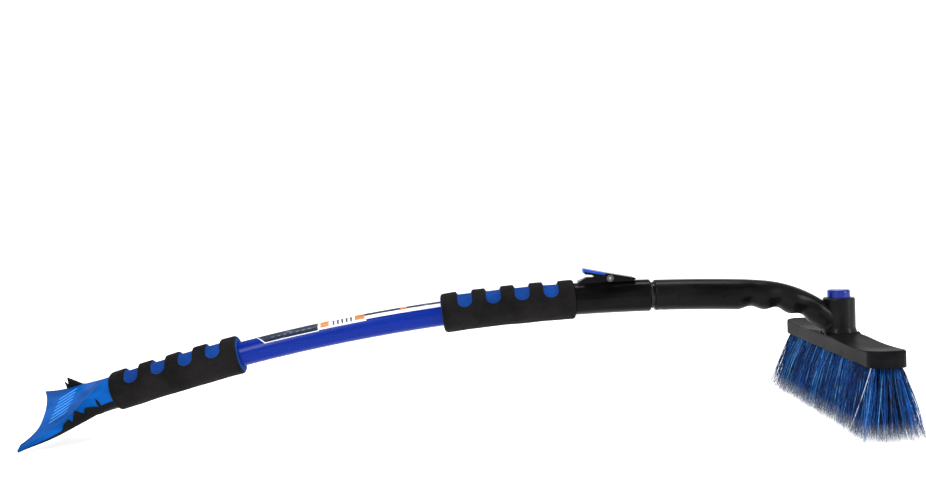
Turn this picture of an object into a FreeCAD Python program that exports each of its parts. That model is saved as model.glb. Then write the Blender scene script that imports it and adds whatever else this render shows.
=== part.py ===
"""Extending snow brush with an ice scraper on the other end of its curved handle.

Frame: +X runs along the handle towards the brush, +Y across it, +Z up. The tool stands on its
bristle tips and on one corner of the blade. The model is drawn with X = 0 on the axis that the
brush head turns on, and every piece is moved at the end so that the origin is under the middle
of the whole tool. Stations are lengths along the handle's curved axis from its rear end.
All sizes are in millimetres and degrees.
"""
import FreeCAD
import Part

import math
import os

from FreeCAD import Vector

# --- the tool as a whole -------------------------------------------------------------------
HANDLE_RADIUS = 1960.0          # both tubes bend to this radius, so that one slides in the other
HANDLE_LENGTH = 694.5           # station where the handle's long curve ends and the arm's bend starts
BEND_HEADING = -3.955           # slope of the axis there; the blade's corner then rests on the floor
BEND_RADIUS = 120.0             # the arm's own bend, down to the socket
BEND_EXIT = -42.0               # slope of the axis where the arm meets the socket
SOCKET_ENTRY = Vector(-10.0, 0.0, 94.2)
MIDDLE_X = -420.70              # middle of the tool's footprint, seen from the swivel axis
GAP = 0.05                      # play between pieces that are fitted together

# --- stations of the pieces on the handle ----------------------------------------------------
REAR_GRIP = (0.0, 141.0)
FRONT_GRIP = (359.3, 499.7)
CONNECTOR = (500.0, 579.2)
OUTER_TUBE_END = 544.0
TANG_END = 60.0
TANG_PIN_AT = 30.0
INNER_TUBE = (130.0, 670.0)
ARM_START = 582.6
PIVOT_AT = 537.0                # the lever's rivet
LOCK_PIN_FORWARD = 19.0         # the lock pin, from the rivet
LOCK_PIN_AT = PIVOT_AT + LOCK_PIN_FORWARD
SCREW_STATIONS = (510.5, 529.5)
ARM_PIN_STATIONS = (606.5, 652.5)
TRAVEL = 350.0                  # how far the inner tube slides out
SLACK = 0.2                     # kept between the ends of pieces in a row

# --- tubes and grips -------------------------------------------------------------------------
OUTER_TUBE_R = 13.0
OUTER_TUBE_WALL = 1.3
INNER_TUBE_R = 11.0
INNER_TUBE_WALL = 1.2
LOCK_HOLE_R = 3.4
LOCK_HOLE_PITCH = 50.0
GRIP_R = 21.0
GRIP_SKIN = 3.5
GRIP_END_ROUND = 4.0
RECESS_R = 7.7                  # each finger recess is a slot with round ends through the skin
RECESS_HALF_ANGLE = 52.0
RECESS_COUNT = 4
RECESS_PITCH = 30.0
FIRST_RECESS = 25.6             # from the rear end of each grip

# --- scraper ---------------------------------------------------------------------------------
SCRAPER_CANT = 23.0             # the blade is turned about the handle, far side up
# the concave front edge is two arcs, each given by three points: forward and left distances
FRONT_EDGE_LEFT = ((79.6, 20.0), (83.8, 35.3), (95.3, 46.2))
FRONT_EDGE_RIGHT = ((79.6, 20.0), (83.9, -20.0), (97.3, -60.0))
PARTING = -0.4                  # the overlay lies on the base above this height
RIM = 2.4
NECK_END = 12.0                 # the overlay covers the neck from edge to edge up to here
OVERLAY_STEP = 15.0             # and lies inside the blade's rims from here on
LEFT_EDGE_FROM = 16.0           # and reaches the left edge of the blade from here on
TANG_R = OUTER_TUBE_R - OUTER_TUBE_WALL - GAP
# forward distance, left and right half widths, top, bottom and corner radius of the sections
SCRAPER_SECTIONS = (
    (0.0, 17.5, 17.5, 17.5, -17.5, 17.2),
    (12.0, 18.5, 18.5, 16.0, -15.0, 14.0),
    (30.0, 28.5, 27.0, 10.5, -9.5, 7.5),
    (52.0, 44.5, 36.5, 6.0, -5.5, 4.5),
    (76.0, 53.5, 46.0, 3.2, -3.0, 2.4),
    (100.0, 60.0, 59.0, 1.4, -1.4, 1.1),
)
# upper outline of the toothed walls: forward distance and height, from the front backwards
LEFT_TEETH = ((51.0, -0.4), (47.7, 4.6), (42.4, 6.2), (40.1, 1.5), (35.2, 10.8), (28.8, 1.2),
              (26.5, 6.6), (16.6, 0.8))
RIGHT_TEETH = ((64.5, -0.4), (62.5, 12.0), (59.8, 7.0), (56.5, 17.0), (42.0, 7.0), (34.0, 6.0))

# --- connector and lever ---------------------------------------------------------------------
CONNECTOR_R = 16.8
BUSH_R = 12.7
LEVER_AXIS_R = 20.4             # height of the rivet above the handle's axis
LEVER_HALF_WIDTH = 10.0
LEVER_CHEEK = 2.0
LEVER_TOP = 1.6
LEVER_SLOPE = -12.2
LEVER_BACK = -27.0              # end of the thumb pad, from the rivet
LEVER_FRONT = 27.0
PAD_SPLIT = -5.0                # the thumb pad covers the lever behind this point
PAD_THICKNESS = 2.4
RIB_HALF_WIDTH = 5.5
RIVET_R = 2.0
RIVET_BORE_R = 1.4
LOCK_PIN_R = 3.0

# --- arm ---------------------------------------------------------------------------------------
ARM_R = 16.0
ARM_END_R = 12.6
TAPER_FROM = 96.0               # along the arm, where it starts to get thinner
GROOVES_FROM = 87.0             # three finger grooves under the bend
GROOVE_PITCH = 29.5
GROOVE_COUNT = 3
GROOVE_DEPTH = 3.6
ARM_STEPS = 44                  # sections that the arm is drawn through

# --- swivel socket, button and hub -----------------------------------------------------------
SOCKET_R = 16.2
SOCKET_BOTTOM = 82.0
SOCKET_TOP = 118.5
SOCKET_BORE = 13.6
SOCKET_LIP = 4.0
BUTTON_R = 11.5
BUTTON_TOP = 126.8
BUTTON_TRAVEL = 5.0
SPLINE_BOTTOM = 98.6            # notched ring that the lock gear stands in
SPLINE_TOP = 106.5
BUTTON_FLANGE = (SPLINE_TOP + BUTTON_TRAVEL + 0.1, SOCKET_TOP - SOCKET_LIP - 0.3)
SPINDLE_R = 13.3
SPINDLE_TOP = 98.0
SPRING_SEAT = 84.3
GEAR_TEETH = 12
GEAR_R = 9.0
GEAR_SPAN = (94.5, 103.0)
CLIP_Z = 92.0

# --- brush head ------------------------------------------------------------------------------
BLOCK_TOP = 81.5
BLOCK_BOTTOM = 65.5
BLOCK_WIDTH = 36.5
BLOCK_LENGTH = 280.0
BLOCK_WALL = 2.5
BLOCK_DIP = (24.0, 134.0)       # where the top dips, from the hub towards each end
BLOCK_DIP_DEPTH = 2.4
BLOCK_ROOF = 76.0
BOARD_THICKNESS = 8.0
BRISTLE_ROOT = (28.0, 268.0)
BRISTLE_TIP = (58.0, 316.0)
BRISTLE_LEAN = -3.0             # the tips stand a little back towards the handle
FLANGE_R = 15.6
HUB_SCREW_CIRCLE = 11.0

ORIGIN = Vector(0, 0, 0)
X_DIR = Vector(1, 0, 0)
Y_DIR = Vector(0, 1, 0)
Z_DIR = Vector(0, 0, 1)


# --- the handle's axis -----------------------------------------------------------------------
def up_at(heading):
    """The direction square to the axis, upwards, where the axis has this slope."""
    a = math.radians(heading)
    return Vector(-math.sin(a), 0, math.cos(a))


def along_at(heading):
    a = math.radians(heading)
    return Vector(math.cos(a), 0, math.sin(a))


BEND_CENTRE = SOCKET_ENTRY - up_at(BEND_EXIT) * BEND_RADIUS
BEND_START = BEND_CENTRE + up_at(BEND_HEADING) * BEND_RADIUS
HANDLE_CENTRE = BEND_START - up_at(BEND_HEADING) * HANDLE_RADIUS


def heading_at(station):
    return BEND_HEADING + math.degrees((HANDLE_LENGTH - station) / HANDLE_RADIUS)


def axis_point(station):
    return HANDLE_CENTRE + up_at(heading_at(station)) * HANDLE_RADIUS


def at_station(shape, station):
    """Places a shape drawn about the origin, with X along the handle, at a station."""
    turn = FreeCAD.Rotation(Y_DIR, -heading_at(station))
    shape.Placement = FreeCAD.Placement(axis_point(station), turn).multiply(shape.Placement)
    return shape


# --- small shapes ----------------------------------------------------------------------------
def circle_wire(radius, centre, normal):
    return Part.Wire(Part.makeCircle(radius, centre, normal))


def curved_bar(start, end, radius):
    """A round bar along the handle's curve."""
    heading = heading_at(start)
    disc = Part.Face(circle_wire(radius, axis_point(start), along_at(heading)))
    return disc.revolve(HANDLE_CENTRE, Y_DIR, math.degrees((end - start) / HANDLE_RADIUS))


def curved_tube(start, end, outer, inner):
    return curved_bar(start, end, outer).cut(curved_bar(start - 1, end + 1, inner))


def cylinder(radius, bottom, top):
    return Part.makeCylinder(radius, top - bottom, Vector(0, 0, bottom))


def ring(outer, inner, bottom, top):
    return cylinder(outer, bottom, top).cut(cylinder(inner, bottom - 1, top + 1))


def cross_cylinder(radius, half_length, x, z):
    """A cylinder across the handle."""
    return Part.makeCylinder(radius, 2 * half_length, Vector(x, -half_length, z), Y_DIR)


def plate_xz(points, half_width):
    """A flat plate across the handle, cut to an outline given as forward and up distances."""
    corners = [Vector(x, -half_width, z) for x, z in points]
    outline = Part.makePolygon(corners + corners[:1])
    return Part.Face(outline).extrude(Vector(0, 2 * half_width, 0))


def rounded_rectangle(width, low, high, radius, place):
    """A rounded rectangle, width across and from low to high; place turns (u, v) into a point."""
    u, v0, v1, r = width / 2, low, high, radius
    k = r * (1 - math.sqrt(0.5))
    corners = (
        ((u - r, v0), (u - k, v0 + k), (u, v0 + r)),
        ((u, v1 - r), (u - k, v1 - k), (u - r, v1)),
        ((-u + r, v1), (-u + k, v1 - k), (-u, v1 - r)),
        ((-u, v0 + r), (-u + k, v0 + k), (-u + r, v0)),
    )
    edges = []
    for i, arc in enumerate(corners):
        start, middle, end = [place(*p) for p in arc]
        edges.append(Part.Arc(start, middle, end).toShape())
        edges.append(Part.LineSegment(end, place(*corners[(i + 1) % 4][0])).toShape())
    return Part.Wire(edges)


def flat_bar(width, length, radius, bottom, top):
    """A bar with rounded corners, its length along Y."""
    outline = rounded_rectangle(
        width, -length / 2, length / 2, radius, lambda u, v: Vector(u, v, bottom)
    )
    return Part.Face(outline).extrude(Vector(0, 0, top - bottom))


def round_edges(shape, radius, wanted):
    edges = [e for e in shape.Edges if wanted(e)]
    return shape.makeFillet(radius, edges)


def end_rounder(radius, size):
    """Cutter that rounds the end of a round bar at x = 0."""
    out = radius + 0.1
    middle = Vector(0.3 * size, 0, out - 0.3 * size)
    start = Vector(0, 0, out - size)
    end = Vector(size, 0, out)
    edges = [Part.Arc(start, middle, end).toShape()]
    edges += Part.makePolygon(
        [end, Vector(size, 0, out + 2), Vector(-2, 0, out + 2), Vector(-2, 0, out - size), start]
    ).Edges
    return Part.Face(Part.Wire(edges)).revolve(ORIGIN, X_DIR, 360)


def coil(radius, wire, turns, bottom, top):
    """A compression spring about the Z axis."""
    low = bottom + wire / 2
    height = top - wire / 2 - low
    path = Part.Wire(Part.makeHelix(height / turns, height, radius))
    section = circle_wire(wire / 2, Vector(radius, 0, 0), Y_DIR)
    spring = path.makePipeShell([section], True, True)
    spring.translate(Vector(0, 0, low))
    return spring


# --- scraper ---------------------------------------------------------------------------------
def onto_rear_end(shape):
    """Turns a shape drawn with X forward from the neck to its place on the handle's rear end."""
    shape.rotate(ORIGIN, X_DIR, -SCRAPER_CANT)
    shape.rotate(ORIGIN, Z_DIR, 180)
    return at_station(shape, 0)


def scraper_envelope():
    """Neck and blade as one body, before the front edge is hollowed."""
    wires = []
    for x, left, right, top, low, radius in SCRAPER_SECTIONS:
        middle = (left - right) / 2
        wires.append(rounded_rectangle(
            left + right, low, top, radius, lambda u, v, x=x, m=middle: Vector(x, m + u, v)
        ))
    return Part.makeLoft(wires, True, False)


def front_hollow():
    """Cutter for the concave front edge."""
    low, height, beyond = -20.0, 40.0, 125.0
    left = [Vector(x, y, low) for x, y in FRONT_EDGE_LEFT]
    right = [Vector(x, y, low) for x, y in FRONT_EDGE_RIGHT]
    outside = [left[-1], Vector(left[-1].x + 1, 64, low), Vector(beyond, 64, low),
               Vector(beyond, -64, low), Vector(right[-1].x + 0.2, -64, low), right[-1]]
    edges = [Part.Arc(*left).toShape()] + Part.makePolygon(outside).Edges
    edges.append(Part.Arc(*right[::-1]).toShape())
    return Part.Face(Part.Wire(edges)).extrude(Vector(0, 0, height))


def half_width(x, column):
    """Half width of the scraper on one side, between the sections it is drawn from."""
    for near, far in zip(SCRAPER_SECTIONS, SCRAPER_SECTIONS[1:]):
        if x <= far[0]:
            return near[column] + (far[column] - near[column]) * (x - near[0]) / (far[0] - near[0])
    return SCRAPER_SECTIONS[-1][column]


def plan_prism(inset, start, end, low, high):
    """A prism over the scraper's outline, drawn in by inset from the sides of the blade."""
    marks = sorted([section[0] for section in SCRAPER_SECTIONS] + [OVERLAY_STEP])
    stops = [start] + [x for x in marks if start < x < end] + [end]
    left, right = [], []
    for x in stops:
        margin = inset if x > NECK_END else -1.0
        left.append(Vector(x, half_width(x, 1) - margin, low))
        right.append(Vector(x, margin - half_width(x, 2), low))
    points = left + right[::-1]
    return Part.Face(Part.makePolygon(points + points[:1])).extrude(Vector(0, 0, high - low))


def left_edge_box(play):
    """The region at the left edge where the overlay runs out to the side of the blade."""
    return Part.makeBox(95.0, 60.0, 40.0, Vector(LEFT_EDGE_FROM + play, 16.0, PARTING + play))


def toothed_wall(side, outline, thickness):
    """A row of upstanding teeth along one side of the blade."""
    column = 1 if side > 0 else 2
    front, back = outline[0][0], outline[-1][0]
    start = half_width(front, column) - RIM / 2
    slope = (start - half_width(back, column) + RIM / 2) / (front - back)
    foot = PARTING - 1.0
    corners = [
        Vector(x, side * (start - slope * (front - x) - thickness / 2), z)
        for x, z in [(front, foot), *outline, (back, foot)]
    ]
    plate = Part.Face(Part.makePolygon(corners + corners[:1]))
    return plate.extrude(Vector(0, side * thickness, 0))


def toothed_walls(thickness):
    return [toothed_wall(1, LEFT_TEETH, thickness), toothed_wall(-1, RIGHT_TEETH, thickness)]


def scraper_base():
    envelope = scraper_envelope()
    base = envelope.cut([plan_prism(RIM, -2.0, 110.0, PARTING, 40.0), left_edge_box(0)])
    pocket = plan_prism(RIM + 1.6, 16.0, 66.0, -40.0, -3.4)
    base = base.cut(pocket)
    ribs = [Part.makeBox(54.0, 2.0, 40.0, Vector(14.0, y - 1.0, -42.0)) for y in (-14.0, 0.0, 14.0)]
    ribs.append(Part.makeBox(2.0, 90.0, 40.0, Vector(40.0, -45.0, -42.0)))
    base = base.fuse([envelope.common(rib) for rib in ribs] + toothed_walls(RIM))
    base = onto_rear_end(base.cut(front_hollow()))
    tang = curved_bar(-6.0, TANG_END, TANG_R)
    tang = tang.cut(curved_bar(12.0, TANG_END + 1, TANG_R - 3.0))
    return base.fuse(tang).cut(tang_pin_hole())


def scraper_overlay():
    cover = plan_prism(RIM + GAP, -2.0, 110.0, PARTING + GAP, 40.0).fuse(left_edge_box(GAP))
    overlay = scraper_envelope().common(cover)
    outside_left = toothed_wall(1, LEFT_TEETH, RIM + 2 * GAP)
    outside_left.translate(Vector(0, RIM, 0))
    overlay = overlay.cut(toothed_walls(RIM + 2 * GAP) + [outside_left, front_hollow()])
    return onto_rear_end(overlay).cut(curved_bar(-6 - GAP, 1, TANG_R + GAP))


def tang_pin_hole():
    return at_station(cross_cylinder(2.0 + GAP, 20.0, 0, 0), TANG_PIN_AT)


def tang_pin():
    return at_station(cross_cylinder(2.0, OUTER_TUBE_R - 0.1, 0, 0), TANG_PIN_AT)


# --- outer tube and grips --------------------------------------------------------------------
def outer_tube():
    tube = curved_tube(0, OUTER_TUBE_END, OUTER_TUBE_R, OUTER_TUBE_R - OUTER_TUBE_WALL)
    return tube.cut([tang_pin_hole()] + connector_screw_holes())


def grip_core(span):
    return curved_tube(span[0], span[1], GRIP_R - GRIP_SKIN, OUTER_TUBE_R + GAP)


def finger_recess(station):
    """Cutter for a slot over the top of the grip, with round ends, through the skin."""
    low = GRIP_R - GRIP_SKIN - 2.0
    width = 2 * RECESS_R
    slot = Part.makeCylinder(GRIP_R + 2, width, Vector(0, 0, -RECESS_R), Z_DIR, 2 * RECESS_HALF_ANGLE)
    slot = slot.cut(Part.makeCylinder(low, width + 2, Vector(0, 0, -RECESS_R - 1)))
    for angle in (0, 2 * RECESS_HALF_ANGLE):
        a = math.radians(angle)
        out = Vector(math.cos(a), math.sin(a), 0)
        slot = slot.fuse(Part.makeCylinder(RECESS_R, GRIP_SKIN + 4.0, out * low, out))
    slot.rotate(ORIGIN, Z_DIR, -RECESS_HALF_ANGLE)
    slot.rotate(ORIGIN, Y_DIR, -90)
    return at_station(slot, station)


def grip_skin(span):
    skin = curved_tube(span[0], span[1], GRIP_R, GRIP_R - GRIP_SKIN + GAP)
    skin = round_edges(
        skin, GRIP_END_ROUND - 1,
        lambda e: isinstance(e.Curve, Part.Circle) and abs(e.Curve.Radius - GRIP_R) < 0.01,
    )
    start = span[0] + FIRST_RECESS
    return skin.cut([finger_recess(start + i * RECESS_PITCH) for i in range(RECESS_COUNT)])


# --- connector -------------------------------------------------------------------------------

def connector_screw_holes():
    holes = []
    for station in SCREW_STATIONS:
        hole = cylinder(1.5 + GAP, -CONNECTOR_R - 1, -10.0)
        head = cylinder(2.8 + GAP, -CONNECTOR_R - 1, -CONNECTOR_R + 1.6)
        holes.append(at_station(hole.fuse(head), station))
    return holes


def connector_screws():
    screws = []
    for station in SCREW_STATIONS:
        head = cylinder(2.8, -CONNECTOR_R + 0.2, -CONNECTOR_R + 1.6)
        slot = Part.makeBox(4.0, 0.8, 1.0, Vector(-2.0, -0.4, -CONNECTOR_R + 0.2 - 0.3))
        shank = cylinder(1.5, -CONNECTOR_R + 1.4, -OUTER_TUBE_R + 1.0)
        screws.append(at_station(head.cut(slot).fuse(shank), station))
    return Part.makeCompound(screws)


def rib_outline():
    """Side view of the connector's rib: a ramp behind the thumb pad, then down beside the pin."""
    return [
        (-33.5, 12.0), (-33.5, 18.0), (-24.0, 22.3), (-10.0, 21.7), (-5.0, 20.8), (-3.4, 22.4),
        (-1.6, 23.0), (3.0, 22.5), (12.0, 20.4), (24.5, 17.6), (27.5, 14.0), (27.5, 12.0),
    ]


def connector():
    start, end = CONNECTOR
    body = curved_bar(start, end, CONNECTOR_R)
    mouth = axis_point(end)
    body = round_edges(
        body, 2.2,
        lambda e: isinstance(e.Curve, Part.Circle) and e.Curve.Center.distanceToPoint(mouth) < 0.1,
    )
    rib = plate_xz(rib_outline(), RIB_HALF_WIDTH)
    heel = plate_xz([(-33.5, 12.0), (-33.5, 18.0), (-29.5, 19.8), (-29.5, 12.0)], 8.6)
    body = body.fuse([at_station(rib, PIVOT_AT), at_station(heel, PIVOT_AT)]).removeSplitter()
    body = body.cut([
        curved_bar(start - 1, OUTER_TUBE_END + SLACK, OUTER_TUBE_R + GAP),
        curved_bar(OUTER_TUBE_END, end, INNER_TUBE_R + 0.6),
        curved_bar(end - 14.0, end + 1, BUSH_R + GAP),
        at_station(cross_cylinder(RIVET_R + GAP, 12.0, 0, LEVER_AXIS_R), PIVOT_AT),
        at_station(cylinder(LOCK_PIN_R + 0.1, 8.0, 30.0), LOCK_PIN_AT),
    ])
    return body.cut(connector_screw_holes())


def guide_bush():
    end = CONNECTOR[1]
    return curved_tube(end - 13.8, end - 2.2, BUSH_R, INNER_TUBE_R + 0.1)


def wiper_ring():
    """Rubber ring in the mouth of the connector, standing proud in the neck."""
    end = CONNECTOR[1]
    seat = curved_tube(end - 2.0, end + 0.2, BUSH_R, INNER_TUBE_R + 0.3)
    lip = curved_tube(end + 0.1, end + 1.2, 13.6, INNER_TUBE_R + 0.3)
    return seat.fuse(lip)


def lever_rivet():
    """Hollow rivet with a flared head on each side of the lever."""
    out = LEVER_HALF_WIDTH + 0.15
    rivet = cross_cylinder(RIVET_R, out + 0.9, 0, LEVER_AXIS_R)
    for side in (-1, 1):
        head = Part.makeCylinder(3.7, 1.0, Vector(0, side * out, LEVER_AXIS_R), Y_DIR * side)
        rivet = rivet.fuse(head)
    rivet = rivet.cut(cross_cylinder(RIVET_BORE_R, out + 3, 0, LEVER_AXIS_R))
    return at_station(rivet.removeSplitter(), PIVOT_AT)


def lever_spring():
    """Torsion coil round the rivet, between the rib and one cheek of the lever."""
    room = LEVER_HALF_WIDTH - LEVER_CHEEK - RIB_HALF_WIDTH
    spring = coil(RIVET_R + 0.7, 0.7, 2, 0.2, room - 0.2)
    spring.rotate(ORIGIN, X_DIR, -90)
    spring.translate(Vector(0, RIB_HALF_WIDTH, LEVER_AXIS_R))
    return at_station(spring, PIVOT_AT)


# --- lock lever and pin ----------------------------------------------------------------------
def lever_top(x):
    """Height of the lever's top surface above the handle's axis, x forward of the rivet."""
    return 25.2 + x * math.tan(math.radians(LEVER_SLOPE))


def lever_channel():
    """An upside-down channel over the rib: a sloping top, and two cheeks with a curved edge."""
    back, front = LEVER_BACK + 1.0, LEVER_FRONT
    web = PAD_THICKNESS + LEVER_TOP
    outline = [
        (back, lever_top(back) - PAD_THICKNESS), (PAD_SPLIT, lever_top(PAD_SPLIT) - PAD_THICKNESS),
        (PAD_SPLIT, lever_top(PAD_SPLIT)), (front - 1.5, lever_top(front - 1.5)),
        (front, lever_top(front) - 1.2), (front - 1.0, 17.6), (20.0, 16.6), (8.0, 16.2),
        (-4.0, 16.6), (-10.0, 18.6), (-19.0, 24.6), (back, lever_top(back) - 5.2),
    ]
    solid = plate_xz(outline, LEVER_HALF_WIDTH)
    inside = plate_xz(
        [(back - 5, lever_top(back - 5) - web), (PAD_SPLIT, lever_top(PAD_SPLIT) - web),
         (PAD_SPLIT, lever_top(PAD_SPLIT) - LEVER_TOP), (front + 5, lever_top(front + 5) - LEVER_TOP),
         (front + 5, 5.0), (back - 5, 5.0)],
        LEVER_HALF_WIDTH - LEVER_CHEEK,
    )
    lever = solid.cut(inside)
    front_wall = plate_xz(
        [(front - 2.2, lever_top(front - 2.2) - 1.0), (front - 0.6, lever_top(front) - 1.4),
         (front - 1.2, 17.9), (front - 2.2, 17.9)],
        LEVER_HALF_WIDTH - 1.0,
    )
    lever = lever.fuse(front_wall).removeSplitter()
    lever = lever.cut(cross_cylinder(RIVET_R + 0.1, 20.0, 0, LEVER_AXIS_R))
    return at_station(lever, PIVOT_AT)


def thumb_pad():
    """Blue pad on the back of the lever, with a rounded, turned-up end."""
    back = LEVER_BACK
    outline = [
        (PAD_SPLIT - GAP, lever_top(PAD_SPLIT)),
        (PAD_SPLIT - GAP, lever_top(PAD_SPLIT) - PAD_THICKNESS + GAP),
        (back + 1.0 - GAP, lever_top(back + 1.0) - PAD_THICKNESS + GAP),
        (back + 1.0 - GAP, lever_top(back) - 5.0), (back - 0.4, lever_top(back) - 4.2),
        (back - 1.0, lever_top(back) - 1.6), (back + 0.2, lever_top(back) + 0.4),
    ]
    pad = plate_xz(outline, LEVER_HALF_WIDTH)
    plan = rounded_rectangle(2 * LEVER_HALF_WIDTH, back - 1.0, back + 40.0, 6.0,
                             lambda u, v: Vector(v, u, 0))
    pad = pad.common(Part.Face(plan).extrude(Vector(0, 0, 50)))
    return at_station(pad, PIVOT_AT)


def lock_pin():
    """Steel pin that the lever lifts; it is drawn lifted clear of the inner tube."""
    top = lever_top(LOCK_PIN_FORWARD) - LEVER_TOP - 0.8
    pin = cylinder(LOCK_PIN_R, INNER_TUBE_R + 0.4, top)
    return at_station(pin, LOCK_PIN_AT)


# --- extension -------------------------------------------------------------------------------
def inner_tube():
    start, end = INNER_TUBE
    tube = curved_tube(start, end, INNER_TUBE_R, INNER_TUBE_R - INNER_TUBE_WALL)
    count = int(TRAVEL // LOCK_HOLE_PITCH) + 1
    holes = [
        at_station(cylinder(LOCK_HOLE_R, 5.0, 20.0), LOCK_PIN_AT - i * LOCK_HOLE_PITCH)
        for i in range(count)
    ]
    return tube.cut(holes + arm_pin_holes())


def end_bush():
    """Ring on the hidden end of the inner tube, running in the outer tube."""
    start = INNER_TUBE[0]
    bore = OUTER_TUBE_R - OUTER_TUBE_WALL
    cap = curved_tube(start - 3.0, start - GAP, bore - 0.1, INNER_TUBE_R - INNER_TUBE_WALL - 2.0)
    plug = curved_tube(start - 1.0, start + 14.0, INNER_TUBE_R - INNER_TUBE_WALL - GAP, 7.8)
    return cap.fuse(plug)


def stop_ring():
    """Bright ring that the arm shuts against the connector."""
    return curved_tube(CONNECTOR[1] + 1.6, ARM_START - GAP, 13.9, INNER_TUBE_R + GAP)


def arm_pin_holes():
    return [at_station(cross_cylinder(2.0 + GAP, 20.0, 0, 0), s) for s in ARM_PIN_STATIONS]


def arm_pins():
    pins = [at_station(cross_cylinder(2.0, 15.2, 0, 0), s) for s in ARM_PIN_STATIONS]
    return Part.makeCompound(pins)


def arm_axis(distance):
    """Point and slope of the arm's axis, distance along it from its joint with the handle."""
    straight = HANDLE_LENGTH - ARM_START
    if distance <= straight:
        station = ARM_START + distance
        return axis_point(station), heading_at(station)
    heading = BEND_HEADING - math.degrees((distance - straight) / BEND_RADIUS)
    if heading >= BEND_EXIT:
        return BEND_CENTRE + up_at(heading) * BEND_RADIUS, heading
    beyond = math.radians(BEND_EXIT - heading) * BEND_RADIUS
    return SOCKET_ENTRY + along_at(BEND_EXIT) * beyond, BEND_EXIT


def arm_length():
    bend = math.radians(BEND_HEADING - BEND_EXIT) * BEND_RADIUS
    return HANDLE_LENGTH - ARM_START + bend - SOCKET_ENTRY.x / math.cos(math.radians(BEND_EXIT))


def arm_section(distance):
    """Radius of the arm, and how deep a finger groove is there."""
    thinner = min(max((distance - TAPER_FROM) / (arm_length() - 12 - TAPER_FROM), 0), 1)
    radius = ARM_R + (ARM_END_R - ARM_R) * thinner
    phase = (distance - GROOVES_FROM) / GROOVE_PITCH
    groove = GROOVE_DEPTH * math.sin(math.pi * phase) ** 2 if 0 < phase < GROOVE_COUNT else 0
    return radius, groove


def arm_limb():
    length = arm_length()
    wires = []
    for i in range(ARM_STEPS + 1):
        distance = length * i / ARM_STEPS
        point, heading = arm_axis(distance)
        radius, groove = arm_section(distance)
        centre = point + up_at(heading) * (groove / 2)
        wires.append(circle_wire(radius - groove / 2, centre, along_at(heading)))
    limb = Part.makeLoft(wires, True, False)
    return limb.cut(at_station(end_rounder(ARM_R, 2.4), ARM_START))


def socket():
    """Upright socket: a wall with a lip at the top that holds the button in."""
    wall = cylinder(SOCKET_R, SOCKET_BOTTOM, SOCKET_TOP)
    wall = round_edges(wall, 1.8, lambda e: isinstance(e.Curve, Part.Circle)
                       and e.Curve.Center.z > SOCKET_TOP - 1)
    foot = Part.makeCone(SOCKET_R + 1.6, SOCKET_R, 5.0, Vector(0, 0, SOCKET_BOTTOM))
    return wall.fuse(foot)


def arm():
    body = arm_limb().fuse(socket())
    clip_groove = cylinder(SOCKET_BORE + 1.2, CLIP_Z, CLIP_Z + 2.0)
    return body.cut([
        Part.makeBox(200, 200, 50, Vector(-100, -100, SOCKET_BOTTOM - 50)),
        cylinder(SOCKET_BORE, SOCKET_BOTTOM - 1, SOCKET_TOP - SOCKET_LIP),
        cylinder(BUTTON_R + 0.25, SOCKET_TOP - SOCKET_LIP - 1, SOCKET_TOP + 1),
        clip_groove,
        curved_bar(ARM_START - 5, INNER_TUBE[1] + SLACK, INNER_TUBE_R + GAP),
    ] + arm_pin_holes())


def toothed(radius, depth, width, bottom, top, count):
    """Radial blocks for the teeth of a gear, or for the notches of a ring."""
    blocks = []
    for i in range(count):
        block = Part.makeBox(depth, width, top - bottom, Vector(radius - depth, -width / 2, bottom))
        block.rotate(ORIGIN, Z_DIR, 360.0 * i / count)
        blocks.append(block)
    return blocks


def spline_ring():
    """Notched ring in the socket that the lock gear stands in."""
    body = ring(SOCKET_BORE - GAP, GEAR_R + 0.4, SPLINE_BOTTOM, SPLINE_TOP)
    return body.cut(toothed(GEAR_R + 1.9, 3.0, 3.4, SPLINE_BOTTOM - 1, SPLINE_TOP + 1, GEAR_TEETH))


# --- swivel button ---------------------------------------------------------------------------

def swivel_button():
    cap = cylinder(BUTTON_R, BUTTON_FLANGE[0], BUTTON_TOP)
    cap = round_edges(cap, 2.2, lambda e: isinstance(e.Curve, Part.Circle)
                      and e.Curve.Center.z > BUTTON_TOP - 1)
    flange = cylinder(BUTTON_R + 1.35, *BUTTON_FLANGE)
    stem = cylinder(4.0, GEAR_SPAN[1] - 2.0, BUTTON_FLANGE[0])
    return cap.fuse([flange, stem]).removeSplitter()


def lock_gear():
    """Toothed ring on the button's stem."""
    low, high = GEAR_SPAN
    gear = cylinder(GEAR_R - 1.2, low, high).fuse(toothed(GEAR_R, 3.0, 2.6, low, high, GEAR_TEETH))
    return gear.removeSplitter().cut(cylinder(4.0 + GAP, high - 2.0 - GAP, high + 1))


def button_spring():
    return coil(5.5, 1.2, 3, SPRING_SEAT + 0.1, GEAR_SPAN[0] - 0.2)


# --- brush head ------------------------------------------------------------------------------
def hub():
    """Spindle in the socket, on a flange let into the block."""
    spindle = cylinder(SPINDLE_R, BLOCK_TOP - 1, SPINDLE_TOP)
    flange = cylinder(FLANGE_R, BLOCK_TOP - 3, BLOCK_TOP)
    hub_body = spindle.fuse(flange).cut(cylinder(GEAR_R + 0.4, SPRING_SEAT, SPINDLE_TOP + 1))
    clip_seat = ring(SPINDLE_R + 1, SPINDLE_R - 1.2, CLIP_Z + 0.1, CLIP_Z + 1.9)
    return hub_body.cut([clip_seat] + hub_screw_holes()).removeSplitter()


def retaining_clip():
    """Open ring in the spindle's groove, standing out into the socket's groove."""
    clip = ring(SOCKET_BORE + 0.7, SPINDLE_R - 1.1, CLIP_Z + 0.4, CLIP_Z + 1.6)
    return clip.cut(Part.makeBox(6.0, 5.0, 4.0, Vector(10.0, -2.5, CLIP_Z - 1)))


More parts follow.
